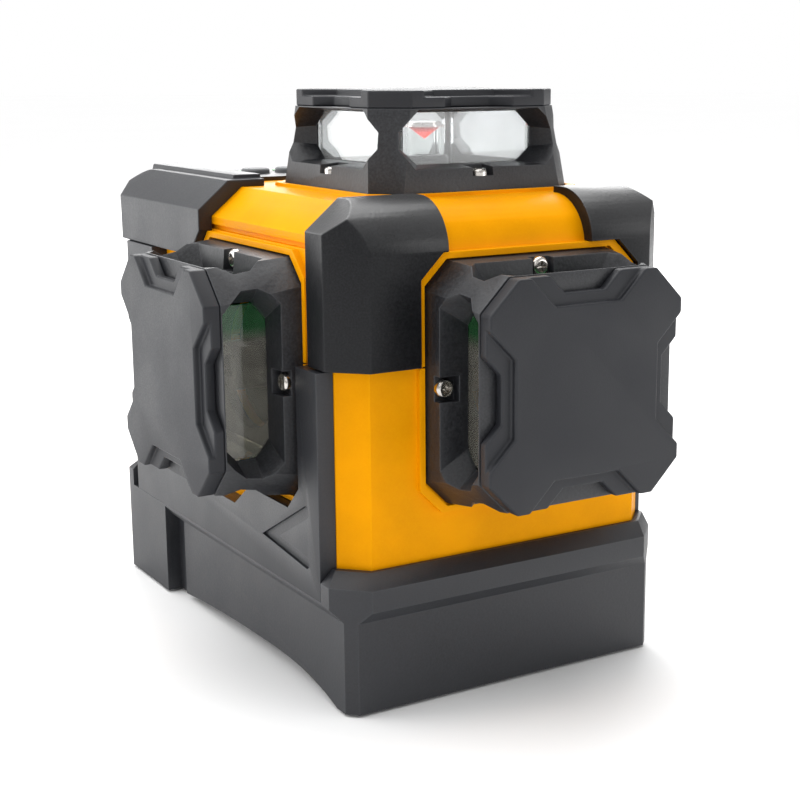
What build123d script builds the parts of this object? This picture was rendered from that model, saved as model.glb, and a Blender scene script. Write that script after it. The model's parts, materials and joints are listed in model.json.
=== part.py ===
"""Self-levelling line laser with three caged heads, in millimetres.

The origin is the mouth of the tripod thread, on the plumb line where the two
vertical laser planes cross. +X is to the right along the front, +Y to the
back and +Z up. One head looks up, one looks to the front (-Y) and one looks
to the left (-X); all three sit in the same octagonal cage.
"""

from build123d import *
import os

os.makedirs("parts", exist_ok=True)

# Body, in plan about its own centre
BODY_X = -6.6
BODY_Y = 20.3
PLINTH_X = 92.8
PLINTH_Y = 145.8
BELT_PROUD = 2.6
BUMPER_PROUD = 3.2
CASE_X = 91.8
CASE_Y = 140.0
CASE_MID = BODY_X + 1.5
CORNER = 6.2
WALL = 2.5
GAP = 0.3

# Levels
FLOOR_Z = 5.5
PLINTH_Z = 23.4
BELT_LOW = 26.5
BELT_HIGH = 32.0
SHELF_Z = 28.0
TRAY_TOP = 35.2
SEAM_Z = 84.0
DECK_Z = 122.5
SHOULDER_X = 9.0
SHOULDER_Z = 7.5
FRONT_ROUND = 13.0

# Cages and laser heads
HEAD_Z = 79.2
CAGE_BASE = 30.2
CAGE_TOP = 28.1
CAGE_H = 21.6
PLATE_H = 26.0
PLATE_STEP = 2.7
WELL = 21.95
HEAD_HOLE_R = 17.0
SCREW_AT = 27.4
NOTCH = 4.5
HEAD_R = 6.5
BORDER = 32.0

# Gimbal and pendulum
PIVOT_Z = 104.0
RING_IN = 17.0
RING_OUT = 23.0
PIN_R = 1.5
BEARING_R = 3.0
POST_AT = 25.0
BLOCK = 13.0

# Lock
LOCK_TRAVEL = 12.0
LOCK_SLOPE = 0.4
ARM_Y0 = -14.0
ARM_Y1 = -4.0
PIN_STEM_R = 2.0

# Battery
PACK_X = 72.0
PACK_Y0 = 63.0
PACK_Y1 = 93.0
PACK_Z0 = 40.0
PACK_Z1 = 81.0

LEFT = CASE_MID - CASE_X / 2
RIGHT = CASE_MID + CASE_X / 2
FRONT = BODY_Y - CASE_Y / 2
REAR = BODY_Y + CASE_Y / 2

SEATS = {
    "top": Plane(origin=(0, 0, DECK_Z), x_dir=(1, 0, 0), z_dir=(0, 0, 1)),
    "front": Plane(origin=(0, FRONT, HEAD_Z), x_dir=(1, 0, 0), z_dir=(0, -1, 0)),
    "left": Plane(origin=(LEFT, 0, HEAD_Z), x_dir=(0, -1, 0), z_dir=(-1, 0, 0)),
}


def save(shape, node):
    """Name a finished piece after its node and write it out."""
    shape.label = node
    export_step(shape, f"parts/{node}.step")


def body_plan(z, width, depth, leg, middle=BODY_X):
    """Rectangle with cut corners on a level plane, about the plinth's centre or another X."""
    with BuildSketch(Plane.XY.offset(z)) as plan:
        with Locations((middle, BODY_Y)):
            Rectangle(width, depth)
        chamfer(plan.vertices(), leg)
    return plan.sketch


def octagon(plane, half, leg):
    """Square with cut corners on a given plane."""
    with BuildSketch(plane) as shape:
        Rectangle(2 * half, 2 * half)
        chamfer(shape.vertices(), leg)
    return shape.sketch


def fourfold(plane, quadrant):
    """Outline whose one quarter is repeated four times about the centre."""
    points = list(quadrant)
    points += [(y, -x) for x, y in quadrant]
    points += [(-x, -y) for x, y in quadrant]
    points += [(-y, x) for x, y in quadrant]
    with BuildSketch(plane) as shape:
        with BuildLine():
            Polyline(*points, close=True)
        make_face()
    return shape.sketch


def mirrored(plane, half):
    """Outline given by its right half, from top to bottom."""
    points = list(half) + [(-x, y) for x, y in reversed(half)]
    with BuildSketch(plane) as shape:
        with BuildLine():
            Polyline(*points, close=True)
        make_face()
    return shape.sketch


def disc(plane, radius, x=0.0, y=0.0):
    """Round face on a given plane."""
    with BuildSketch(plane) as shape:
        with Locations((x, y)):
            Circle(radius)
    return shape.sketch


def block(x0, x1, y0, y1, z0, z1):
    """Box between given limits."""
    with BuildPart() as box:
        with Locations(((x0 + x1) / 2, (y0 + y1) / 2, (z0 + z1) / 2)):
            Box(x1 - x0, y1 - y0, z1 - z0)
    return box.part


def case_solid(grow, base, top):
    """The casing's outer form, grown outwards by `grow`, between two levels.

    It is what three outlines have in common: the plan, the front view with
    its two cut shoulders, and the side view with its rounded front shoulder.
    """
    half_x = CASE_X / 2 + grow
    half_y = CASE_Y / 2 + grow
    deck = min(top, DECK_Z + grow * 0.5)
    leg = CORNER + grow * 0.586
    with BuildPart() as form:
        extrude(body_plan(base, 2 * half_x, 2 * half_y, leg, CASE_MID), amount=deck - base)
        with BuildSketch(Plane.XZ) as front_view:
            with Locations((CASE_MID, (base + DECK_Z + grow * 0.5) / 2)):
                Rectangle(2 * half_x, DECK_Z + grow * 0.5 - base)
            chamfer(
                front_view.vertices().group_by(Axis.Y)[-1],
                SHOULDER_Z,
                SHOULDER_X,
            )
        extrude(amount=250, both=True, mode=Mode.INTERSECT)
        with BuildSketch(Plane.YZ) as side_view:
            with Locations((BODY_Y, (base + DECK_Z + grow * 0.5) / 2)):
                Rectangle(2 * half_y, DECK_Z + grow * 0.5 - base)
            fillet(side_view.vertices().group_by(Axis.Y)[-1], FRONT_ROUND)
        extrude(amount=250, both=True, mode=Mode.INTERSECT)
    return form.part


# ---------------------------------------------------------------- base tray

feet_places = [(BODY_X + sx * 31, BODY_Y + sy * 58) for sx in (-1, 1) for sy in (-1, 1)]
boss_places = [(CASE_MID + sx * 38.9, BODY_Y + sy * 63.0) for sx in (-1, 1) for sy in (-1, 1)]
post_places = [(sx * POST_AT, sy * POST_AT) for sx in (-1, 1) for sy in (-1, 1)]
belt_x = PLINTH_X + 2 * BELT_PROUD
belt_y = PLINTH_Y + 2 * BELT_PROUD
belt_leg = CORNER + BELT_PROUD * 0.586
post_y0 = BODY_Y + 38.2
arch_y0 = BODY_Y - 67.5
groove_y0 = BODY_Y + 30.0
skin_y0 = BODY_Y - CASE_Y / 2 + 6.6
skin_y1 = BODY_Y + 64.0
SKIN_Z = 27.0

with BuildPart() as base_tray:
    extrude(body_plan(0, PLINTH_X, PLINTH_Y, CORNER), amount=PLINTH_Z)
    belt_foot = body_plan(PLINTH_Z, PLINTH_X, PLINTH_Y, CORNER)
    belt_low = body_plan(BELT_LOW, belt_x, belt_y, belt_leg)
    belt_high = body_plan(BELT_HIGH, belt_x, belt_y, belt_leg)
    loft([belt_foot, belt_low], ruled=True)
    extrude(belt_low, amount=BELT_HIGH - BELT_LOW)
    loft([belt_high, body_plan(TRAY_TOP, CASE_X + 2.6, CASE_Y + 2.6, CORNER, CASE_MID)], ruled=True)
    # rear posts stand as proud as the belt, all the way down
    extrude(body_plan(0, belt_x, belt_y, belt_leg), amount=BELT_LOW, mode=Mode.ADD)
    for side in (-1, 1):
        # step the sides back to the plinth, ahead of the rear posts
        x_in = BODY_X + side * PLINTH_X / 2
        x_out = BODY_X + side * (PLINTH_X / 2 + 20)
        low_x, high_x = sorted((x_in, x_out))
        add(block(low_x, high_x, BODY_Y - 90, post_y0, -1, PLINTH_Z), mode=Mode.SUBTRACT)
        with BuildSketch(Plane.XZ.offset(-post_y0)):
            with BuildLine():
                Polyline(
                    (x_in, PLINTH_Z - 0.01),
                    (x_in + side * BELT_PROUD, BELT_LOW),
                    (x_in + side * 20, BELT_LOW),
                    (x_in + side * 20, PLINTH_Z - 0.01),
                    close=True,
                )
            make_face()
        extrude(amount=160, mode=Mode.SUBTRACT)
        # upright groove in front of each post
        groove_x = x_in - side * 1.8
        add(
            block(min(groove_x, x_in + side), max(groove_x, x_in + side), groove_y0, post_y0, -1, PLINTH_Z),
            mode=Mode.SUBTRACT,
        )
        # low arch between the front foot and the rear post
        with BuildSketch(Plane.YZ.offset(x_in - side * 5.0)):
            with BuildLine():
                arch = Spline(
                    (arch_y0, -0.5),
                    (BODY_Y - 50, 3.6),
                    (BODY_Y - 22, 4.3),
                    (BODY_Y + 8, 3.0),
                    (groove_y0 + 1, 1.0),
                )
                Polyline(arch @ 1, (groove_y0 + 1, -2), (arch_y0, -2), arch @ 0)
            make_face()
        extrude(amount=side * 12, mode=Mode.SUBTRACT)
    # front and rear faces of the plinth
    for side in (-1, 1):
        y_in = BODY_Y + side * PLINTH_Y / 2
        with BuildSketch(Plane.YZ):
            with BuildLine():
                Polyline(
                    (y_in, -1),
                    (y_in, PLINTH_Z),
                    (y_in + side * BELT_PROUD, BELT_LOW),
                    (y_in + side * 20, BELT_LOW),
                    (y_in + side * 20, -1),
                    close=True,
                )
            make_face()
        extrude(amount=150, both=True, mode=Mode.SUBTRACT)
    extrude(
        body_plan(SHELF_Z, CASE_X + 0.3, CASE_Y + 0.3, CORNER, CASE_MID),
        amount=TRAY_TOP - SHELF_Z,
        mode=Mode.SUBTRACT,
    )
    extrude(
        body_plan(FLOOR_Z, PLINTH_X - 7.2, PLINTH_Y - 6, CORNER),
        amount=SHELF_Z - FLOOR_Z,
        mode=Mode.SUBTRACT,
    )
    # the side skins stand flush in the belt, so it is cut back behind them
    for side in (-1, 1):
        face_x = CASE_MID + side * CASE_X / 2
        low_x, high_x = sorted((face_x, face_x + side * 20))
        rim = block(low_x, high_x, skin_y0 - 0.2, skin_y1 + 0.2, SKIN_Z, TRAY_TOP + 5)
        add(rim, mode=Mode.SUBTRACT)
    # boss for the tripod thread, posts for the casing screws and the chassis
    extrude(disc(Plane.XY.offset(FLOOR_Z - 1), 9.0), amount=9.0)
    for x, y in boss_places:
        extrude(disc(Plane.XY.offset(FLOOR_Z - 1), 4.2, x, y), amount=SHELF_Z - FLOOR_Z + 1)
        extrude(disc(Plane.XY.offset(-1), 1.6, x, y), amount=SHELF_Z + 2, mode=Mode.SUBTRACT)
        extrude(disc(Plane.XY.offset(-1), 3.0, x, y), amount=4.4, mode=Mode.SUBTRACT)
    for x, y in post_places:
        extrude(disc(Plane.XY.offset(FLOOR_Z - 1), 3.4, x, y), amount=93 - FLOOR_Z + 1)
        extrude(disc(Plane.XY.offset(84), 1.2, x, y), amount=12, mode=Mode.SUBTRACT)
    extrude(disc(Plane.XY.offset(-1), 5.0), amount=13.0, mode=Mode.SUBTRACT)
    for x, y in feet_places:
        extrude(disc(Plane.XY.offset(-1), 5.1, x, y), amount=2.0, mode=Mode.SUBTRACT)
    # slot for the lock slider and recess for the charging port
    slot_y0 = ARM_Y0 - GAP
    slot_y1 = ARM_Y1 + LOCK_TRAVEL + GAP
    add(block(RIGHT - 6, RIGHT + 6, slot_y0, slot_y1, 13.7, 18.3), mode=Mode.SUBTRACT)
    port_x = BODY_X + belt_x / 2
    port_y = BODY_Y + 54.5
    add(block(port_x - 2.4, port_x + 1, port_y - 6.8, port_y + 6.8, 7.8, 20.3), mode=Mode.SUBTRACT)
    extrude(disc(Plane.YZ.offset(port_x - 8.4), 4.0, port_y, 14.0), amount=8, mode=Mode.SUBTRACT)
    extrude(disc(Plane.XZ.offset(-port_y - 8.3), 0.5, port_x - 0.8, 9.2), amount=16.6, mode=Mode.SUBTRACT)
save(base_tray.part, "base_tray")

with BuildPart() as rubber_feet:
    for x, y in feet_places:
        extrude(disc(Plane.XY.offset(-0.6), 5.0, x, y), amount=1.6)
    chamfer(rubber_feet.edges().group_by(Axis.Z)[0], 0.4)
save(rubber_feet.part, "rubber_feet")

with BuildPart() as tripod_insert:
    extrude(disc(Plane.XY, 5.0), amount=12.0)
    extrude(disc(Plane.XY, 2.6), amount=12.0, mode=Mode.SUBTRACT)
save(tripod_insert.part, "tripod_insert")


def pan_screw(plane, x, y, head_r, head_h, shank_r, shank_l):
    """Pan-head screw with a cross recess; the head stands on the plane."""
    with BuildPart() as screw:
        extrude(disc(plane, head_r, x, y), amount=head_h)
        top = screw.faces().sort_by(Axis((0, 0, 0), plane.z_dir))[-1]
        fillet(top.edges(), head_h * 0.55)
        extrude(disc(plane, shank_r, x, y), amount=-shank_l)
        with BuildSketch(plane.offset(head_h)):
            with Locations((x, y)):
                Rectangle(head_r * 1.1, head_r * 0.26)
                Rectangle(head_r * 0.26, head_r * 1.1)
        extrude(amount=-head_h * 0.6, mode=Mode.SUBTRACT)
    return screw.part


under = Plane(origin=(0, 0, 3.4), x_dir=(1, 0, 0), z_dir=(0, 0, -1))
CHASSIS_Z = 96.0
with BuildPart() as frame_screws:
    for x, y in boss_places:
        add(pan_screw(under, x, -y, 2.6, 2.0, 1.45, 32.0))
    for x, y in post_places:
        add(pan_screw(Plane.XY.offset(CHASSIS_Z), x, y, 2.6, 2.0, 1.15, 10.0))
save(frame_screws.part, "frame_screws")

# ------------------------------------------------------------------- casing

bay_x0 = BODY_X - PACK_X / 2 - GAP - 1.6
bay_x1 = BODY_X + PACK_X / 2 + GAP + 1.6
bay_z0 = PACK_Z0 - GAP - 1.6
bay_z1 = PACK_Z1 + GAP + 1.6
key_x0 = BODY_X - 22
key_x1 = BODY_X + 22
key_y0 = 47.0
key_y1 = 73.0

case_outer = case_solid(0, SHELF_Z, DECK_Z)
with BuildPart() as case_shell:
    add(case_outer)
    # raised border round each cage
    for side, proud in (("front", 1.6), ("left", 1.6), ("top", 0.9)):
        extrude(octagon(SEATS[side].offset(-2), BORDER, CORNER), amount=2 + proud)
        extrude(octagon(SEATS[side], CAGE_BASE + 0.3, CORNER), amount=2.0, mode=Mode.SUBTRACT)
    # groove under the left shoulder
    add(block(LEFT - 1, LEFT + 1.2, -42, 60, 111.6, 113.0), mode=Mode.SUBTRACT)
    with BuildPart(mode=Mode.PRIVATE) as hollow:
        extrude(
            body_plan(SHELF_Z, CASE_X - 2 * WALL, CASE_Y - 2 * WALL, CORNER - 1, CASE_MID),
            amount=DECK_Z - WALL - SHELF_Z,
        )
        with BuildSketch(Plane.XZ) as inner_front:
            with Locations((CASE_MID, (SHELF_Z + DECK_Z - WALL) / 2)):
                Rectangle(CASE_X - 2 * WALL, DECK_Z - WALL - SHELF_Z)
            chamfer(inner_front.vertices().group_by(Axis.Y)[-1], SHOULDER_Z, SHOULDER_X)
        extrude(amount=250, both=True, mode=Mode.INTERSECT)
        with BuildSketch(Plane.YZ) as inner_side:
            with Locations((BODY_Y, (SHELF_Z + DECK_Z - WALL) / 2)):
                Rectangle(CASE_Y - 2 * WALL, DECK_Z - WALL - SHELF_Z)
            fillet(inner_side.vertices().group_by(Axis.Y)[-1], FRONT_ROUND - WALL)
        extrude(amount=250, both=True, mode=Mode.INTERSECT)
    add(hollow.part, mode=Mode.SUBTRACT)
    for seat in SEATS.values():
        extrude(disc(seat.offset(-6), HEAD_HOLE_R), amount=12, mode=Mode.SUBTRACT)
        for u, v in ((SCREW_AT, 0), (-SCREW_AT, 0), (0, SCREW_AT), (0, -SCREW_AT)):
            extrude(disc(seat.offset(-6), 1.2, u, v), amount=12, mode=Mode.SUBTRACT)

with BuildPart() as lower_case:
    add(case_shell.part)
    add(block(-200, 200, -200, 200, SEAM_Z - 0.2, 200), mode=Mode.SUBTRACT)
    add(block(bay_x0, bay_x1, REAR - 6, REAR + 6, bay_z0, SEAM_Z), mode=Mode.SUBTRACT)
    for x, y in boss_places:
        extrude(disc(Plane.XY.offset(SHELF_Z), 4.2, x, y), amount=9.5)
        extrude(disc(Plane.XY.offset(SHELF_Z), 1.5, x, y), amount=9.5, mode=Mode.SUBTRACT)
save(lower_case.part, "lower_case")

with BuildPart() as upper_case:
    add(case_shell.part)
    add(block(-200, 200, -200, 200, 0, SEAM_Z + 0.2), mode=Mode.SUBTRACT)
    add(block(key_x0, key_x1, key_y0, key_y1, DECK_Z - 6, DECK_Z + 6), mode=Mode.SUBTRACT)
save(upper_case.part, "upper_case")

# Black side skins over the casing, flush with the belt; the left one is cut
# away behind and under its cage
LEFT_SKIN = [
    (skin_y0, SKIN_Z),
    (skin_y1, SKIN_Z),
    (skin_y1, 103.8),
    (60.0, 103.8),
    (60.0, 43.5),
    (56.7, 40.2),
    (6.7, 40.2),
    (-5.0, 48.5),
    (-5.0, SEAM_Z - 0.2),
    (skin_y0, SEAM_Z - 0.2),
]
RIGHT_SKIN = [
    (skin_y0, SKIN_Z),
    (skin_y1, SKIN_Z),
    (skin_y1, 103.8),
    (BORDER + 2.4, 103.8),
    (BORDER + 2.4, SEAM_Z - 0.2),
    (skin_y0, SEAM_Z - 0.2),
]
ARROW = [(-36.2, 48.2), (-15.6, 37.2), (-35.8, 35.2)]
for node, side, outline in (("left_side_skin", -1, LEFT_SKIN), ("right_side_skin", 1, RIGHT_SKIN)):
    face_x = CASE_MID + side * CASE_X / 2
    skin_proud = side * (BODY_X - face_x) + belt_x / 2
    plane = Plane.YZ.offset(face_x)
    with BuildPart() as skin:
        with BuildSketch(plane):
            with BuildLine():
                Polyline(*outline, close=True)
            make_face()
        extrude(amount=side * skin_proud)
        if side < 0:
            rear_edges = skin.edges().filter_by(Axis.Z).sort_by(Axis.Y)[-2:]
            chamfer(rear_edges.sort_by(Axis.X)[0], 4.0)
            extrude(octagon(SEATS["left"].offset(-0.5), BORDER + 0.2, CORNER), amount=8, mode=Mode.SUBTRACT)
        # arrow-shaped groove near the front edge, with round ends
        with BuildSketch(plane.offset(side * skin_proud)):
            with BuildLine():
                Polyline(*ARROW)
            trace(line_width=3.0)
            with Locations(*ARROW):
                Circle(1.5)
        extrude(amount=-side * 0.9, mode=Mode.SUBTRACT)
    save(skin.part, node)

# ------------------------------------------------------------------ bumpers

cover = case_solid(BUMPER_PROUD, SEAM_Z + 0.2, DECK_Z + 2)
cover_core = case_solid(0.02, SEAM_Z - 4, DECK_Z)
front_zones = {
    "front_left_bumper": (-200, -24.5, -200, -36.0),
    "front_right_bumper": (17.5, 200, -200, -36.0),
}
for node, (x0, x1, y0, y1) in front_zones.items():
    with BuildPart() as bumper:
        add(cover)
        add(cover_core, mode=Mode.SUBTRACT)
        add(block(x0, x1, y0, y1, 0, 200), mode=Mode.INTERSECT)
        extrude(octagon(SEATS["front"].offset(-6), BORDER + 0.2, CORNER), amount=16, mode=Mode.SUBTRACT)
        extrude(octagon(SEATS["left"].offset(-6), BORDER + 0.2, CORNER), amount=16, mode=Mode.SUBTRACT)
    save(bumper.part, node)

rear_zones = {
    "rear_left_bumper": (-200, CASE_MID - 30.0, 4.0),
    "rear_right_bumper": (CASE_MID + 30.0, 200, 2.0),
}
for node, (x0, x1, proud) in rear_zones.items():
    with BuildPart() as bumper:
        add(case_solid(proud, 104.0, DECK_Z + 4))
        with BuildSketch(Plane.XY.offset(DECK_Z - 0.5)):
            with Locations((CASE_MID, BODY_Y + 38)):
                Rectangle(CASE_X - 14, 61)
        extrude(amount=3.7, taper=12)
        add(case_outer, mode=Mode.SUBTRACT)
        add(block(x0, x1, 26.0, 200, 104.0, 200), mode=Mode.INTERSECT)
        add(block(-BORDER - 0.2, BORDER + 0.2, -50, BORDER + 0.2, DECK_Z, 200), mode=Mode.SUBTRACT)
        extrude(octagon(SEATS["left"].offset(-6), BORDER + 0.2, CORNER), amount=16, mode=Mode.SUBTRACT)
    save(bumper.part, node)

# ------------------------------------------------------------ cages and glass

WINDOW_OUT = [(19.0, CAGE_H), (25.8, 15.4), (25.8, 12.0), (20.4, 6.6)]
WINDOW_IN = [(15.0, 20.4), (19.5, 16.2), (19.5, 11.2), (15.0, 7.4)]
PLATE_LOW = [(5.8, 23.6), (10.2, 27.9), (20.0, 27.9), (27.9, 20.0), (27.9, 10.2), (23.6, 5.8)]
PLATE_HIGH = [(9.4, 20.9), (16.4, 27.9), (20.0, 27.9), (27.9, 20.0), (27.9, 16.4), (20.9, 9.4)]
SCREWS = ((SCREW_AT, 0), (-SCREW_AT, 0), (0, SCREW_AT), (0, -SCREW_AT))


def side_plane(seat, turn, distance):
    """Plane facing outwards on one side of a cage, with its Y along the cage axis."""
    out = (seat.x_dir, seat.y_dir, -seat.x_dir, -seat.y_dir)[turn]
    return Plane(origin=seat.origin, x_dir=seat.z_dir.cross(out), z_dir=out).offset(distance)


for side, seat in SEATS.items():
    with BuildPart() as cage:
        loft([octagon(seat, CAGE_BASE, 6.5), octagon(seat.offset(CAGE_H), CAGE_TOP, 8.0)], ruled=True)
        extrude(octagon(seat.offset(3.0), WELL, 1.0), amount=CAGE_H, mode=Mode.SUBTRACT)
        extrude(disc(seat, HEAD_HOLE_R), amount=3.0, mode=Mode.SUBTRACT)
        for turn in range(4):
            loft(
                [
                    mirrored(side_plane(seat, turn, 30.5), WINDOW_OUT),
                    mirrored(side_plane(seat, turn, WELL - 0.05), WINDOW_IN),
                ],
                ruled=True,
                mode=Mode.SUBTRACT,
            )
        for u, v in SCREWS:
            reach = 3.1 + 3.0
            along_u = abs(u) > 0
            mid_u = u + (3.0 if u > 0 else -3.0 if u < 0 else 0)
            mid_v = v + (3.0 if v > 0 else -3.0 if v < 0 else 0)
            with BuildSketch(seat.offset(NOTCH)):
                with Locations((mid_u, mid_v)):
                    Rectangle(2 * reach if along_u else 6.2, 6.2 if along_u else 2 * reach)
            extrude(amount=6, mode=Mode.SUBTRACT)
            extrude(disc(seat, 1.3, u, v), amount=6, mode=Mode.SUBTRACT)
    save(cage.part, f"{side}_cage_frame")

    with BuildPart() as plate:
        extrude(fourfold(seat.offset(CAGE_H), PLATE_LOW), amount=PLATE_STEP)
        extrude(fourfold(seat.offset(CAGE_H + PLATE_STEP), PLATE_HIGH), amount=PLATE_H - CAGE_H - PLATE_STEP)
        extrude(octagon(seat.offset(CAGE_H), 19.5, 6.0), amount=1.5, mode=Mode.SUBTRACT)
    save(plate.part, f"{side}_guard_plate")

    with BuildPart() as panes:
        for turn in range(4):
            with BuildSketch(side_plane(seat, turn, 20.3)):
                with Locations((0, (3.2 + CAGE_H) / 2)):
                    Rectangle(38.0, CAGE_H - 3.2)
            extrude(amount=1.6)
    save(panes.part, f"{side}_window_panes")

    with BuildPart() as screws:
        for u, v in SCREWS:
            add(pan_screw(seat.offset(NOTCH), u, v, 2.4, 1.8, 1.1, 6.8))
    save(screws.part, f"{side}_cage_screws")

# ------------------------------------------------- pendulum and laser heads

barrel_start = {
    "top": PIVOT_Z + 8.0 - DECK_Z,
    "front": -BLOCK - FRONT,
    "left": -BLOCK - LEFT,
}
BARREL_END = 8.5
TIP = 12.8
MIRROR_TOP = 17.3
for side, seat in SEATS.items():
    start = barrel_start[side] if side == "top" else -barrel_start[side]
    with BuildPart() as barrel:
        extrude(disc(seat.offset(start), HEAD_R), amount=BARREL_END - start)
        chamfer(barrel.edges().sort_by(Axis(seat.origin, seat.z_dir))[-1], 0.6)
        extrude(disc(seat.offset(BARREL_END - 2), 3.2), amount=3, mode=Mode.SUBTRACT)
    save(barrel.part, f"{side}_laser_barrel")

    with BuildPart() as glass:
        extrude(disc(seat.offset(BARREL_END), 5.4), amount=7.5)
        extrude(disc(seat.offset(BARREL_END), 4.5), amount=7.5, mode=Mode.SUBTRACT)
    save(glass.part, f"{side}_head_glass")

    with BuildPart() as mirror:
        loft([disc(seat.offset(TIP), 0.05), disc(seat.offset(16.0), 4.4)])
        extrude(disc(seat.offset(16.0), 5.4), amount=0.6)
        extrude(disc(seat.offset(16.6), 4.6), amount=MIRROR_TOP - 16.6)
    save(mirror.part, f"{side}_cone_mirror")

with BuildPart() as pendulum_block:
    with Locations((0, 0, HEAD_Z)):
        Box(2 * BLOCK, 2 * BLOCK, 25)
    chamfer(pendulum_block.edges(), 1.5)
    extrude(disc(Plane.XY.offset(HEAD_Z + 10), 11.0), amount=PIVOT_Z + 8 - HEAD_Z - 10)
    extrude(disc(Plane.XY.offset(60), 5.0), amount=10)
    extrude(disc(Plane.YZ.offset(-12), PIN_R, 0, PIVOT_Z), amount=24, mode=Mode.SUBTRACT)
save(pendulum_block.part, "pendulum_block")

with BuildPart() as damping_weight:
    extrude(disc(Plane.XY.offset(42.0), 15.0), amount=18.0)
    chamfer(damping_weight.edges().group_by(Axis.Z)[-1], 1.5)
    loft([disc(Plane.XY.offset(42.0), 9.0), disc(Plane.XY.offset(50.0), 4.0)], mode=Mode.SUBTRACT)
save(damping_weight.part, "damping_weight")

# -------------------------------------------------------------------- gimbal

with BuildPart() as gimbal_ring:
    extrude(disc(Plane.XY.offset(PIVOT_Z - 4.5), RING_OUT), amount=9)
    extrude(disc(Plane.XY.offset(PIVOT_Z - 4.5), RING_IN), amount=9, mode=Mode.SUBTRACT)
    for side in (-1, 1):
        start = 16 if side > 0 else -24
        extrude(disc(Plane.YZ.offset(start), BEARING_R, 0, PIVOT_Z), amount=8, mode=Mode.SUBTRACT)
        extrude(disc(Plane.XZ.offset(start), PIN_R, 0, PIVOT_Z), amount=8, mode=Mode.SUBTRACT)
save(gimbal_ring.part, "gimbal_ring")

with BuildPart() as gimbal_chassis:
    with BuildSketch(Plane.XY.offset(93)):
        RectangleRounded(58, 59, 5)
        Circle(24.5, mode=Mode.SUBTRACT)
        for x, y in post_places:
            with Locations((x, y)):
                Circle(1.3, mode=Mode.SUBTRACT)
    extrude(amount=3)
    for side in (-1, 1):
        add(block(-6, 6, min(side * 25.5, side * 29.5), max(side * 25.5, side * 29.5), 94, 109))
    for start in (25, -30):
        extrude(disc(Plane.XZ.offset(start), BEARING_R, 0, PIVOT_Z), amount=5, mode=Mode.SUBTRACT)
save(gimbal_chassis.part, "gimbal_chassis")


def pair(plane, start, end, radius, bore):
    """The same pin or bearing on both sides of the pivot."""
    with BuildPart() as both:
        for low in (start, -end):
            extrude(disc(plane.offset(low), radius, 0, PIVOT_Z), amount=end - start)
            if bore > 0:
                extrude(disc(plane.offset(low), bore, 0, PIVOT_Z), amount=end - start, mode=Mode.SUBTRACT)
    return both.part


save(pair(Plane.YZ, 8.0, 22.5, PIN_R, 0), "inner_pivot_pins")
save(pair(Plane.YZ, 18.2, 21.8, BEARING_R, PIN_R + 0.05), "inner_pivot_bearings")
save(pair(Plane.XZ, 17.5, 29.3, PIN_R, 0), "outer_pivot_pins")
save(pair(Plane.XZ, 25.7, 29.3, BEARING_R, PIN_R + 0.05), "outer_pivot_bearings")

# ---------------------------------------------------------------------- lock

with BuildPart() as lock_pin_guide:
    extrude(disc(Plane.XY.offset(27), 14.0), amount=3)
    add(block(-7, 7, -20, 23, 27, 30))
    add(block(-7, 7, -20, -17, FLOOR_Z, 28))
    add(block(-7, 7, 20, 23, FLOOR_Z, 28))
    extrude(disc(Plane.XY.offset(27), PIN_STEM_R + 0.05), amount=3, mode=Mode.SUBTRACT)
save(lock_pin_guide.part, "lock_pin_guide")

with BuildPart() as damping_magnets:
    for x, y in ((9, 0), (-9, 0), (0, 9), (0, -9)):
        extrude(disc(Plane.XY.offset(30), 3.5, x, y), amount=5)
save(damping_magnets.part, "damping_magnets")

slider_z0 = 14.0
inner_x = BODY_X + PLINTH_X / 2 - 3.6
with BuildPart() as lock_slider:
    with BuildSketch(Plane.YZ.offset(-4)):
        with BuildLine():
            Polyline(
                (2, slider_z0),
                (2, 16 - 2 * LOCK_SLOPE),
                (-14, 16 + 14 * LOCK_SLOPE),
                (-14, slider_z0),
                close=True,
            )
        make_face()
    extrude(amount=8)
    add(block(3.5, inner_x + 5.0, ARM_Y0, ARM_Y1, slider_z0, 18.0))
    shutter_y0 = slot_y0 - LOCK_TRAVEL - GAP
    add(block(inner_x - 2.1, inner_x - GAP, shutter_y0, slot_y1 + GAP, 10.5, 21.5))
    knob_x = BODY_X + PLINTH_X / 2 + GAP
    with BuildSketch(Plane.YZ.offset(knob_x)):
        with Locations(((ARM_Y0 + ARM_Y1) / 2, 16)):
            RectangleRounded(20, 12, 3)
    extrude(amount=3.6, taper=8)
    for rib in range(5):
        y = -15.5 + rib * 3
        add(block(knob_x + 2.9, knob_x + 4, y, y + 1, 12.5, 19.5), mode=Mode.SUBTRACT)
save(lock_slider.part, "lock_slider")

foot_z = 16 + (PIN_STEM_R + 0.1) / 0.9285
with BuildPart() as lock_pin:
    with Locations((0, 0, foot_z)):
        Sphere(PIN_STEM_R)
    extrude(disc(Plane.XY.offset(foot_z), PIN_STEM_R), amount=33 - foot_z)
    loft([disc(Plane.XY.offset(33), PIN_STEM_R), disc(Plane.XY.offset(36), 0.8)])
save(lock_pin.part, "lock_pin")

# ------------------------------------------------------- battery and its bay

with BuildPart() as battery_bay:
    add(block(bay_x0, bay_x1, PACK_Y0 - 2.4, REAR, bay_z0, bay_z1))
    add(
        block(bay_x0 + 1.6, bay_x1 - 1.6, PACK_Y0 - 0.6, REAR + 1, bay_z0 + 1.6, bay_z1 - 1.6),
        mode=Mode.SUBTRACT,
    )
    add(block(BODY_X - 7.3, BODY_X + 7.3, REAR - 9, REAR + 1, bay_z1 - 2, bay_z1 + 1), mode=Mode.SUBTRACT)
save(battery_bay.part, "battery_bay")

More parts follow.
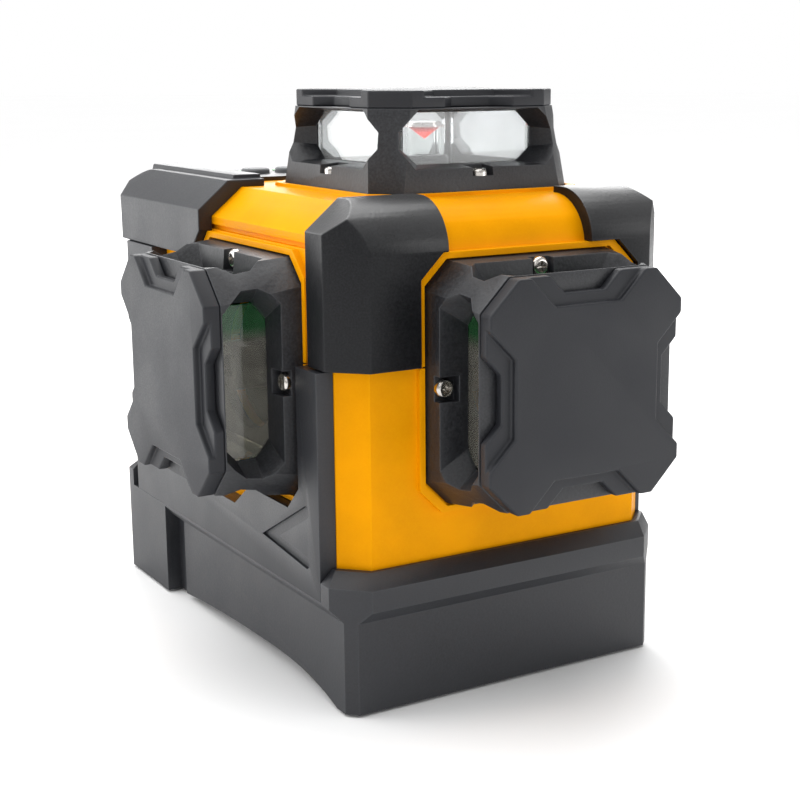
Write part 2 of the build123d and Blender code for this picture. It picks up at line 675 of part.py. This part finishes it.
with BuildPart() as battery_case:
    add(block(BODY_X - PACK_X / 2, BODY_X + PACK_X / 2, PACK_Y0, PACK_Y1, PACK_Z0, PACK_Z1))
    fillet(battery_case.edges().filter_by(Axis.Y), 1.5)
    for rib in range(6):
        z = PACK_Z0 + 6 + rib * 5
        add(block(BODY_X - 28, BODY_X + 28, PACK_Y1 - 0.8, PACK_Y1 + 1, z, z + 2), mode=Mode.SUBTRACT)
    for z in (PACK_Z0 + 10.6, PACK_Z0 + 30.2):
        extrude(disc(Plane.YZ.offset(BODY_X - 33), 9.3, PACK_Y0 + 12, z), amount=66, mode=Mode.SUBTRACT)
    latch_gap = block(BODY_X - 7.4, BODY_X + 7.4, PACK_Y1 - 8.4, PACK_Y1 + 1, PACK_Z1 - 5, PACK_Z1 + 1)
    add(latch_gap, mode=Mode.SUBTRACT)
save(battery_case.part, "battery_case")

with BuildPart() as battery_cells:
    for z in (PACK_Z0 + 10.6, PACK_Z0 + 30.2):
        extrude(disc(Plane.YZ.offset(BODY_X - 32.5), 9.25, PACK_Y0 + 12, z), amount=65)
save(battery_cells.part, "battery_cells")

with BuildPart() as battery_latch:
    add(block(BODY_X - 7, BODY_X + 7, PACK_Y1 - 8, PACK_Y1, PACK_Z1 - 2.4, PACK_Z1))
    add(block(BODY_X - 7, BODY_X + 7, PACK_Y1 - 8, PACK_Y1 - 6, PACK_Z1 - 0.1, PACK_Z1 + 1.5))
    for rib in range(2):
        y = PACK_Y1 - 2.0 - rib * 2
        add(block(BODY_X - 6, BODY_X + 6, y - 0.4, y + 0.4, PACK_Z1 - 0.1, PACK_Z1 + 0.5))
save(battery_latch.part, "battery_latch")

with BuildPart() as battery_contacts:
    for x in (BODY_X - 16, BODY_X - 8, BODY_X + 8, BODY_X + 16):
        add(block(x - 1.5, x + 1.5, PACK_Y0 - 0.6, PACK_Y0 - 0.3, PACK_Z0 + 12, PACK_Z0 + 26))
save(battery_contacts.part, "battery_contacts")

# --------------------------------------------------------------- electronics

with BuildPart() as main_board:
    add(block(BODY_X - 34, BODY_X + 34, 45.0, 46.6, 42, 106))
    chips = ((-20, 60, 14, 14, 2.0), (8, 66, 10, 16, 2.6), (22, 90, 8, 8, 4.0), (-8, 92, 18, 8, 3.0))
    for x, z, w, h, d in chips:
        add(block(BODY_X + x - w / 2, BODY_X + x + w / 2, 46.5, 46.6 + d, z - h / 2, z + h / 2))
save(main_board.part, "main_board")

button_x = [BODY_X - 16.5 + 11 * i for i in range(4)]
button_y = 58.0
with BuildPart() as keypad_board:
    add(block(BODY_X - 24, BODY_X + 24, 45.0, 73.0, 111.0, 112.6))
    for x in button_x:
        add(block(x - 3, x + 3, button_y - 3, button_y + 3, 112.5, 114.4))
save(keypad_board.part, "keypad_board")

with BuildPart() as keypad_panel:
    with BuildSketch(Plane.XY.offset(DECK_Z)):
        with Locations((BODY_X, 60.0)):
            RectangleRounded(50, 34, 3)
    extrude(amount=1.2)
    for x in button_x:
        extrude(disc(Plane.XY.offset(DECK_Z - 1), 4.5, x, button_y), amount=4, mode=Mode.SUBTRACT)
        extrude(disc(Plane.XY.offset(DECK_Z - 1), 1.2, x, button_y + 9), amount=4, mode=Mode.SUBTRACT)
save(keypad_panel.part, "keypad_panel")

buttons = ("power", "horizontal", "vertical_front", "vertical_side")
for x, use in zip(button_x, buttons):
    with BuildPart() as button:
        extrude(disc(Plane.XY.offset(115.6), 2.5, x, button_y), amount=4)
        extrude(disc(Plane.XY.offset(119.4), 5.1, x, button_y), amount=1.6)
        extrude(disc(Plane.XY.offset(120.5), 4.2, x, button_y), amount=4.7)
        fillet(button.edges().group_by(Axis.Z)[-1], 0.8)
    save(button.part, f"{use}_button")

with BuildPart() as indicator_lenses:
    for x in button_x:
        extrude(disc(Plane.XY.offset(DECK_Z), 1.2, x, button_y + 9), amount=1.5)
save(indicator_lenses.part, "indicator_lenses")

# ------------------------------------------------------------- charging port

with BuildPart() as charge_port:
    extrude(disc(Plane.YZ.offset(port_x - 8.4), 4.0, port_y, 14.0), amount=6.0)
    extrude(disc(Plane.YZ.offset(port_x - 7.6), 2.8, port_y, 14.0), amount=6.0, mode=Mode.SUBTRACT)
    extrude(disc(Plane.YZ.offset(port_x - 8.0), 1.0, port_y, 14.0), amount=5.0)
save(charge_port.part, "charge_port")

with BuildPart() as port_cover:
    add(block(port_x - 1.6, port_x, port_y - 6.5, port_y + 6.5, 9.2, 20.0))
    fillet(port_cover.edges().filter_by(Axis.X).group_by(Axis.Z)[-1], 2.0)
    extrude(disc(Plane.XZ.offset(-port_y - 6.5), 0.8, port_x - 0.8, 9.2), amount=13)
    extrude(disc(Plane.XZ.offset(-port_y - 8.0), 0.45, port_x - 0.8, 9.2), amount=16.0)
    extrude(disc(Plane.YZ.offset(port_x - 2.2), 2.4, port_y, 14.0), amount=1)
save(port_cover.part, "port_cover")
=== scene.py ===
import json
import math

import bmesh
import bpy
from mathutils import Matrix, Vector

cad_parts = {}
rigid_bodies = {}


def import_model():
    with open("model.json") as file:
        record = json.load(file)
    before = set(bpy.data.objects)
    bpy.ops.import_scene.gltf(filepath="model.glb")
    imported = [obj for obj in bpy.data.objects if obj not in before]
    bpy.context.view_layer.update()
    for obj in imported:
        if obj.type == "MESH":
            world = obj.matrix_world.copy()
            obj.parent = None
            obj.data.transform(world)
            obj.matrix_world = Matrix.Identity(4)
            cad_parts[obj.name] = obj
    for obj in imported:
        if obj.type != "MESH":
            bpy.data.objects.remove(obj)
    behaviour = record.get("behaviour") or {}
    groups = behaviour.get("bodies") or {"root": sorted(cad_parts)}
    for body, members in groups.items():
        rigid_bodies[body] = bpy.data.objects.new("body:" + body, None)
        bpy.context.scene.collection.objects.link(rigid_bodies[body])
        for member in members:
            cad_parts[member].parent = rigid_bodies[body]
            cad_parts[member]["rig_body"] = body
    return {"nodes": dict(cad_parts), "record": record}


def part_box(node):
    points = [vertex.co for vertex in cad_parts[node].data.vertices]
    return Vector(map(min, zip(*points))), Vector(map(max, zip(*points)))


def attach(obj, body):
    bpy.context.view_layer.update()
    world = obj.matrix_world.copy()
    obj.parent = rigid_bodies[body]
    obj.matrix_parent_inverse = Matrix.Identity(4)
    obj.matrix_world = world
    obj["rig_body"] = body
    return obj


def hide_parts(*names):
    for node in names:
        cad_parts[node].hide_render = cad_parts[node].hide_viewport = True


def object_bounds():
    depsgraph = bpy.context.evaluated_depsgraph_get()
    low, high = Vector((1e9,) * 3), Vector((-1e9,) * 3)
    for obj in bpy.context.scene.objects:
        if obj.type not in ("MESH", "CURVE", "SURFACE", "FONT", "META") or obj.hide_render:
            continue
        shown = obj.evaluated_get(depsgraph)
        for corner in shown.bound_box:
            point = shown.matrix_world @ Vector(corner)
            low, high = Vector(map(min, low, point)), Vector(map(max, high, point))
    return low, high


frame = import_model()
cad_low, cad_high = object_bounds()
nodes = frame["nodes"]
MM = 0.001
MM_PER_M = 1000.0

# ------------------------------------------------------------------ camera

LENS_MM = 68.68
SENSOR_MM = 36
SHIFT = (-0.0503, 0.0019)
NEAREST = 0.01
FURTHEST = 30
CAMERA_AT = (-0.2142, -0.3584, 0.1541)
TURN = math.radians(-31.46)
TILT = math.radians(90 - 12.36)
ROLL = math.radians(-0.24)

camera_data = bpy.data.cameras.new("camera")
camera_data.sensor_width = SENSOR_MM
camera_data.lens = LENS_MM
camera_data.shift_x, camera_data.shift_y = SHIFT
camera_data.clip_start = NEAREST
camera_data.clip_end = FURTHEST
camera = bpy.data.objects.new("camera", camera_data)
camera.location = CAMERA_AT
turned = Matrix.Rotation(TURN, 3, "Z")
tilted = Matrix.Rotation(TILT, 3, "X")
rolled = Matrix.Rotation(ROLL, 3, "Z")
camera.rotation_euler = (turned @ tilted @ rolled).to_euler()
bpy.context.scene.collection.objects.link(camera)
bpy.context.scene.camera = camera
bpy.context.scene.view_settings.view_transform = "Standard"

# ------------------------------------------------------------ shader nodes

EDGE_SAMPLES = 4
EDGE_WIDTH_MM = 0.7
CLOUD_MM = 18.0
CLOUD_LIFT = 1.16
CLOUD_GLOSS = 0.05
GRAIN_GLOSS = 0.07
PIT_SPACING = 1.7
GLASS_IOR = 1.47


def add_node(tree, kind, inputs=None, **settings):
    """New shader node; a socket given as an input is linked, anything else is its value."""
    node = tree.nodes.new("ShaderNode" + kind)
    for key, value in settings.items():
        setattr(node, key, value)
    for key, value in (inputs or {}).items():
        if isinstance(value, bpy.types.NodeSocket):
            tree.links.new(value, node.inputs[key])
        else:
            node.inputs[key].default_value = value
    return node


def blank(name):
    """New material, its tree, its main shader and the Object coordinates."""
    material = bpy.data.materials.new(name)
    material.use_nodes = True
    tree = material.node_tree
    shader = tree.nodes["Principled BSDF"]
    place = add_node(tree, "TexCoord").outputs["Object"]
    return material, tree, shader, place


def noise(tree, place, size_mm, detail=2.0, roughness=0.5):
    """Cloudy pattern whose patches are about size_mm across."""
    inputs = {
        "Vector": place,
        "Scale": MM_PER_M / size_mm,
        "Detail": detail,
        "Roughness": roughness,
    }
    return add_node(tree, "TexNoise", inputs).outputs["Fac"]


def stretch(tree, value, low, high, to_low=0.0, to_high=1.0):
    """Brings low..high of a pattern to another range, and keeps it there."""
    inputs = {"Value": value, "From Min": low, "From Max": high, "To Min": to_low, "To Max": to_high}
    return add_node(tree, "MapRange", inputs, clamp=True).outputs["Result"]


def blend_colours(tree, share, first, second):
    """Colour between two, by a pattern."""
    mix = add_node(tree, "Mix", data_type="RGBA")
    tree.links.new(share, mix.inputs[0])
    for socket, colour in ((mix.inputs[6], first), (mix.inputs[7], second)):
        if isinstance(colour, bpy.types.NodeSocket):
            tree.links.new(colour, socket)
        else:
            socket.default_value = (*colour, 1.0)
    return mix.outputs[2]


def arithmetic(tree, operation, first, second):
    """One sum, product or other step on two patterns or numbers."""
    step = add_node(tree, "Math", operation=operation)
    for socket, value in zip(step.inputs, (first, second)):
        if isinstance(value, bpy.types.NodeSocket):
            tree.links.new(value, socket)
        else:
            socket.default_value = value
    return step.outputs[0]


def edges_of(tree, radius_mm):
    """1 along the edges of a piece and 0 on its flats."""
    rounded = add_node(tree, "Bevel", {"Radius": radius_mm * MM}, samples=EDGE_SAMPLES).outputs["Normal"]
    straight = add_node(tree, "NewGeometry").outputs["Normal"]
    both = add_node(tree, "VectorMath", operation="DOT_PRODUCT")
    tree.links.new(rounded, both.inputs[0])
    tree.links.new(straight, both.inputs[1])
    return stretch(tree, both.outputs["Value"], 0.995, 0.90)


def bump(tree, shader, layers):
    """Relief from several patterns, each (pattern, depth in mm)."""
    normal = None
    for pattern, depth_mm in layers:
        inputs = {"Height": pattern, "Distance": depth_mm * MM, "Strength": 1.0}
        if normal is not None:
            inputs["Normal"] = normal
        normal = add_node(tree, "Bump", inputs).outputs["Normal"]
    tree.links.new(normal, shader.inputs["Normal"])


def plastic(
    name, colour, pale, rough, grain_mm, depth_mm, edge_wear_and_highlight_share=0.25, specular=0.5, speckle=0.22, painted_top_sheen=None
):
    """Moulded plastic with grain, faint clouding and paler edges (partly wear, partly painted edge
    highlight); up-facing tops may get a painted sheen through a higher specular level.
    """
    material, tree, shader, place = blank(name)
    cloud = noise(tree, place, CLOUD_MM, 3.0)
    grain = noise(tree, place, grain_mm, 2.0, 0.6)
    pit_scale = MM_PER_M / (grain_mm * PIT_SPACING)
    pits = add_node(tree, "TexVoronoi", {"Vector": place, "Scale": pit_scale}, feature="SMOOTH_F1")
    speck = stretch(tree, grain, 0.35, 0.75)
    lighter = [c * CLOUD_LIFT for c in colour]
    body = blend_colours(tree, stretch(tree, cloud, 0.35, 0.7), colour, lighter)
    body = blend_colours(tree, arithmetic(tree, "MULTIPLY", speck, speckle), body, pale)
    # paler edges: partly real wear and partly a painted edge highlight
    worn_and_highlit = arithmetic(tree, "MULTIPLY", edges_of(tree, EDGE_WIDTH_MM), edge_wear_and_highlight_share)
    body = blend_colours(tree, worn_and_highlit, body, pale)
    tree.links.new(body, shader.inputs["Base Color"])
    by_grain = stretch(tree, grain, 0.3, 0.7, -GRAIN_GLOSS, GRAIN_GLOSS)
    by_cloud = stretch(tree, cloud, 0.3, 0.7, rough - CLOUD_GLOSS, rough + CLOUD_GLOSS)
    tree.links.new(arithmetic(tree, "ADD", by_cloud, by_grain), shader.inputs["Roughness"])
    shader.inputs["Specular IOR Level"].default_value = specular
    # painted sheen: the specular level rises on up-facing surfaces to stand in for a highlight on the tops
    if painted_top_sheen is not None:
        facing = add_node(tree, "NewGeometry").outputs["Normal"]
        upwards = add_node(tree, "SeparateXYZ", {"Vector": facing}).outputs["Z"]
        painted_sheen_level = stretch(tree, upwards, 0.05, 0.65, specular, painted_top_sheen)
        tree.links.new(painted_sheen_level, shader.inputs["Specular IOR Level"])
    bump(tree, shader, [(pits.outputs["Distance"], depth_mm), (grain, depth_mm * 0.7)])
    return material


def metal(name, colour, rough, scratch_mm, depth_mm):
    """Machined or plated metal with fine tool marks and uneven gloss."""
    material, tree, shader, place = blank(name)
    marks = noise(tree, place, scratch_mm, 3.0, 0.65)
    cloud = noise(tree, place, scratch_mm * 14, 2.0)
    tarnished = [c * 0.78 for c in colour]
    body = blend_colours(tree, stretch(tree, cloud, 0.3, 0.7), tarnished, colour)
    tree.links.new(body, shader.inputs["Base Color"])
    uneven = stretch(tree, marks, 0.3, 0.7, rough * 0.7, rough * 1.3)
    tree.links.new(uneven, shader.inputs["Roughness"])
    shader.inputs["Metallic"].default_value = 1.0
    bump(tree, shader, [(marks, depth_mm)])
    return material


def painted_glow(material, low_z, high_z, colour, strength):
    """Painted red laser glow (emission) on a piece that is no lamp, strongest at low_z and gone at high_z.
    """
    tree = material.node_tree
    shader = tree.nodes["Principled BSDF"]
    place = add_node(tree, "TexCoord").outputs["Object"]
    height = add_node(tree, "SeparateXYZ", {"Vector": place}).outputs["Z"]
    shader.inputs["Emission Color"].default_value = (*colour, 1.0)
    fading = stretch(tree, height, low_z, high_z, strength, 0.0)
    tree.links.new(fading, shader.inputs["Emission Strength"])


def glass(name, low_colour, high_colour, low_z, high_z, haze=0.0):
    """Clear pane whose colour changes with height, with faint wipe marks and some haze."""
    material, tree, shader, place = blank(name)
    height = add_node(tree, "SeparateXYZ", {"Vector": place}).outputs["Z"]
    tint = blend_colours(tree, stretch(tree, height, low_z, high_z), low_colour, high_colour)
    tree.links.new(tint, shader.inputs["Base Color"])
    wipe = noise(tree, place, 9.0, 4.0, 0.6)
    tree.links.new(stretch(tree, wipe, 0.45, 0.8, 0.01, 0.09), shader.inputs["Roughness"])
    film = stretch(tree, wipe, 0.3, 0.75, 1.0 - haze * 0.7, 1.0 - haze * 1.3)
    tree.links.new(film, shader.inputs["Transmission Weight"])
    shader.inputs["IOR"].default_value = GLASS_IOR
    return material


# --------------------------------------------------------------- materials

# colour of the grain's peaks and of the rubbed edges, which are partly wear and partly painted edge
# highlight, on every black plastic
PALE = (0.085, 0.090, 0.101)
# heights between which each glass changes colour; the side panes turn green higher up
SIDE_TINT_HEIGHTS = (89.0 * MM, 92.5 * MM)
TOP_TINT = (128 * MM, 142 * MM)
HEAD_TINT = (0.0, 100 * MM)
# height and strength of the painted red laser glow on the cone mirror
PAINTED_GLOW_HEIGHT = 3.5 * MM
PAINTED_GLOW_STRENGTH = 2.4
LASER_RED = (1.0, 0.030, 0.012)

finishes = {
    "black_abs": plastic(
        "black_abs_grained", (0.0070, 0.0074, 0.0096), PALE, 0.46, 0.62, 0.045, speckle=0.24
    ),
    "plate_abs": plastic(
        "black_abs_plates", (0.0118, 0.0126, 0.0160), PALE, 0.52, 0.30, 0.012, specular=0.36, speckle=0.08
    ),
    "cover_abs": plastic(
        "black_soft_cover",
        (0.0052, 0.0054, 0.0064),
        PALE,
        rough=0.38,
        grain_mm=0.45,
        depth_mm=0.025,
        edge_wear_and_highlight_share=0.20,
        specular=0.20,
        speckle=0.10,
        # painted sheen on the up-facing tops of the covers
        painted_top_sheen=1.0,
    ),
    "black_tpu": plastic(
        "black_skin", (0.0132, 0.0140, 0.0174), PALE, 0.47, 0.40, 0.020, speckle=0.14
    ),
    "yellow_abs": plastic(
        "yellow_abs_satin",
        (0.79, 0.305, 0.0),
        (0.92, 0.46, 0.002),
        rough=0.40,
        grain_mm=0.55,
        depth_mm=0.006,
        edge_wear_and_highlight_share=0.30,
        specular=0.04,
        speckle=0.16,
    ),
    "grey_abs": plastic("grey_abs", (0.11, 0.115, 0.12), (0.20, 0.205, 0.21), 0.5, 0.4, 0.02),
    "black_rubber": plastic("black_rubber", (0.012, 0.012, 0.013), (0.04, 0.04, 0.042), 0.72, 0.5, 0.03),
    "grey_rubber": plastic("grey_rubber", (0.13, 0.135, 0.14), (0.22, 0.225, 0.23), 0.68, 0.4, 0.02),
    "brass": metal("brass_turned", (0.72, 0.50, 0.20), 0.28, 0.25, 0.003),
    "nickel_steel": metal("nickel_plated_steel", (0.66, 0.63, 0.59), 0.20, 0.35, 0.006),
    "steel": metal("steel_ground", (0.52, 0.52, 0.53), 0.24, 0.2, 0.003),
    "zinc": metal("zinc_cast", (0.45, 0.46, 0.48), 0.42, 0.5, 0.012),
    "magnet": metal("magnet_plated", (0.60, 0.60, 0.62), 0.16, 0.4, 0.002),
    "dark_aluminium": metal("aluminium_anodised_dark", (0.055, 0.057, 0.062), 0.38, 0.3, 0.006),
    "coated_glass": glass("coated_pane", (0.62, 0.60, 0.52), (0.10, 0.42, 0.15), *SIDE_TINT_HEIGHTS, haze=0.13),
    "clear_glass": glass("clear_glass", (0.97, 0.98, 0.97), (0.97, 0.99, 0.98), *HEAD_TINT),
    "window_glass": glass("top_pane", (0.86, 0.88, 0.88), (0.84, 0.86, 0.87), *TOP_TINT, haze=0.12),
    "mirror": metal("mirror_cone", (0.88, 0.87, 0.85), 0.06, 0.3, 0.001),
    # lit copy of the mirror: warmer colour, and a painted glow added below
    "painted_glow_mirror": metal("mirror_cone_painted_glow", (0.88, 0.82, 0.78), 0.10, 0.3, 0.001),
    "board": plastic("circuit_board", (0.010, 0.075, 0.030), (0.05, 0.20, 0.09), 0.35, 1.2, 0.02),
    "cell_wrap": plastic("cell_wrap", (0.03, 0.16, 0.30), (0.10, 0.30, 0.45), 0.30, 2.0, 0.01),
    "green_lens": plastic("green_lens", (0.10, 0.45, 0.12), (0.30, 0.70, 0.32), 0.22, 0.8, 0.004),
}

cone_tip_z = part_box("top_cone_mirror")[0].z
painted_glow(finishes["painted_glow_mirror"], cone_tip_z, cone_tip_z + PAINTED_GLOW_HEIGHT, LASER_RED, strength=PAINTED_GLOW_STRENGTH)

# ------------------------------------------------------------------ pieces

MERGE_GAP = 2e-6
FLAT_WITHIN = math.radians(0.4)
SHARP_FROM = math.radians(28)
EDGE_STEPS = 3


def slot_of(node):
    """The record's material slot of a CAD node."""
    rows = frame["record"]["subparts"]
    return next(row["material_slot"] for row in rows if row["node"] == node)


def clean_copy(node):
    """Copy of a CAD node's mesh with its triangles merged into flat faces."""
    form = bmesh.new()
    form.from_mesh(nodes[node].data)
    bmesh.ops.remove_doubles(form, verts=form.verts, dist=MERGE_GAP)
    bmesh.ops.dissolve_limit(
        form, angle_limit=FLAT_WITHIN, use_dissolve_boundaries=False, verts=form.verts, edges=form.edges
    )
    return form


def finished(form, name, node, finish, radius_mm):
    """Turns a shape into a piece that stands for a CAD node, with rounded edges."""
    mesh = bpy.data.meshes.new(name)
    form.to_mesh(mesh)
    form.free()
    mesh.materials.clear()
    mesh.materials.append(finishes[finish])
    piece = bpy.data.objects.new(name, mesh)
    bpy.context.scene.collection.objects.link(piece)
    edge = piece.modifiers.new("edges", "BEVEL")
    edge.width = radius_mm * MM
    edge.segments = EDGE_STEPS
    edge.limit_method = "ANGLE"
    edge.angle_limit = SHARP_FROM
    edge.use_clamp_overlap = True
    edge.harden_normals = True
    mesh.shade_smooth()
    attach(piece, nodes[node]["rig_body"])
    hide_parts(node)


# finish and edge radius in mm of each moulded node
mouldings = {
    "base_tray": ("black_tpu", 0.8),
    "rubber_feet": ("black_rubber", 0.3),
    "lower_case": ("yellow_abs", 0.5),
    "upper_case": ("yellow_abs", 0.5),
    "left_side_skin": ("black_tpu", 0.5),
    "right_side_skin": ("black_tpu", 0.5),
    "front_left_bumper": ("cover_abs", 0.9),
    "front_right_bumper": ("cover_abs", 0.9),
    "rear_left_bumper": ("black_tpu", 0.9),
    "rear_right_bumper": ("black_tpu", 0.9),
    "battery_bay": ("black_abs", 0.3),
    "battery_case": ("black_abs", 0.5),
    "battery_latch": ("grey_abs", 0.25),
    "keypad_panel": ("black_abs", 0.3),
    "lock_slider": ("grey_abs", 0.4),
    "port_cover": ("black_rubber", 0.25),
    "power_button": ("grey_rubber", 0.2),
    "horizontal_button": ("grey_rubber", 0.2),
    "vertical_front_button": ("grey_rubber", 0.2),
    "vertical_side_button": ("grey_rubber", 0.2),
}
for side in ("top", "front", "left"):
    mouldings[f"{side}_cage_frame"] = ("black_abs", 0.6)
    mouldings[f"{side}_guard_plate"] = ("plate_abs", 0.6)

for node, (finish, radius_mm) in mouldings.items():
    finished(clean_copy(node), f"{node}_moulding", node, finish, radius_mm)

# nodes whose finish differs from the others of their slot
own_finish = {"top_window_panes": "window_glass", "top_cone_mirror": "painted_glow_mirror"}
for node, piece in nodes.items():
    if node not in mouldings:
        finish = finishes[own_finish.get(node, slot_of(node))]
        for held in piece.material_slots:
            held.material = finish

# ------------------------------------------------------- floor and lights

FLOOR_RADIUS = 9.0
FLOOR_SIDES = 96
FLOOR_GAP = 0.0001
FLOOR_CLOUD_MM = 300.0

# lights: name, place and size in metres, power in watts
LAMPS = (
    ("overhead", (0.10, 0.25, 1.00), 0.9, 4.0),
    ("rear", (0.60, 1.00, 0.60), 0.9, 12.0),
    ("rear_left", (-0.85, 0.75, 0.35), 1.0, 10.0),
    ("front_left", (-0.55, -0.75, 0.65), 0.5, 0.8),
    ("front_right", (0.75, -0.80, 0.15), 0.6, 2.5),
)
DOME_POWER = 1.65
DOME_SPREAD = math.radians(70)
DOME_LEAN = (math.radians(-12), math.radians(-8), 0)
SKY_LIGHT = 0.60
SKY_SEEN = 1.0


def pale_floor():
    """Plain pale floor just under the object."""
    form = bmesh.new()
    bmesh.ops.create_circle(form, cap_ends=True, radius=FLOOR_RADIUS, segments=FLOOR_SIDES)
    bmesh.ops.translate(form, verts=form.verts, vec=(0, 0, cad_low.z - FLOOR_GAP))
    mesh = bpy.data.meshes.new("floor")
    form.to_mesh(mesh)
    form.free()
    material, tree, shader, place = blank("pale_floor")
    cloud = noise(tree, place, FLOOR_CLOUD_MM)
    tint = blend_colours(tree, cloud, (0.90, 0.90, 0.90), (0.92, 0.92, 0.92))
    tree.links.new(tint, shader.inputs["Base Color"])
    shader.inputs["Roughness"].default_value = 0.9
    shader.inputs["Specular IOR Level"].default_value = 0.1
    mesh.materials.append(material)
    floor = bpy.data.objects.new("floor", mesh)
    bpy.context.scene.collection.objects.link(floor)


def soft_light(name, at, size, power):
    """Large square light aimed at the middle of the object."""
    lamp = bpy.data.lights.new(name, "AREA")
    lamp.size = size
    lamp.energy = power
    light = bpy.data.objects.new(name, lamp)
    light.location = at
    light.visible_camera = False
    middle = (cad_low + cad_high) / 2
    light.rotation_euler = (middle - Vector(at)).to_track_quat("-Z", "Y").to_euler()
    bpy.context.scene.collection.objects.link(light)


def dome_light():
    """Very wide sun that keeps the floor white out to the horizon."""
    lamp = bpy.data.lights.new("dome", "SUN")
    lamp.energy = DOME_POWER
    lamp.angle = DOME_SPREAD
    light = bpy.data.objects.new("dome", lamp)
    light.rotation_euler = DOME_LEAN
    bpy.context.scene.collection.objects.link(light)


def studio_world():
    """White surroundings, brighter to the eye than the light that they give."""
    world = bpy.data.worlds.new("studio")
    world.use_nodes = True
    tree = world.node_tree
    white = (1.0, 1.0, 1.0, 1.0)
    around = add_node(tree, "Background", {"Color": white, "Strength": SKY_LIGHT})
    seen = add_node(tree, "Background", {"Color": white, "Strength": SKY_SEEN})
    direct = add_node(tree, "LightPath").outputs["Is Camera Ray"]
    both = add_node(tree, "MixShader")
    tree.links.new(direct, both.inputs[0])
    tree.links.new(around.outputs[0], both.inputs[1])
    tree.links.new(seen.outputs[0], both.inputs[2])
    tree.links.new(both.outputs[0], tree.nodes["World Output"].inputs["Surface"])
    bpy.context.scene.world = world


pale_floor()
studio_world()
for lamp_name, lamp_place, lamp_size, lamp_power in LAMPS:
    soft_light(lamp_name, lamp_place, lamp_size, lamp_power)
dome_light()
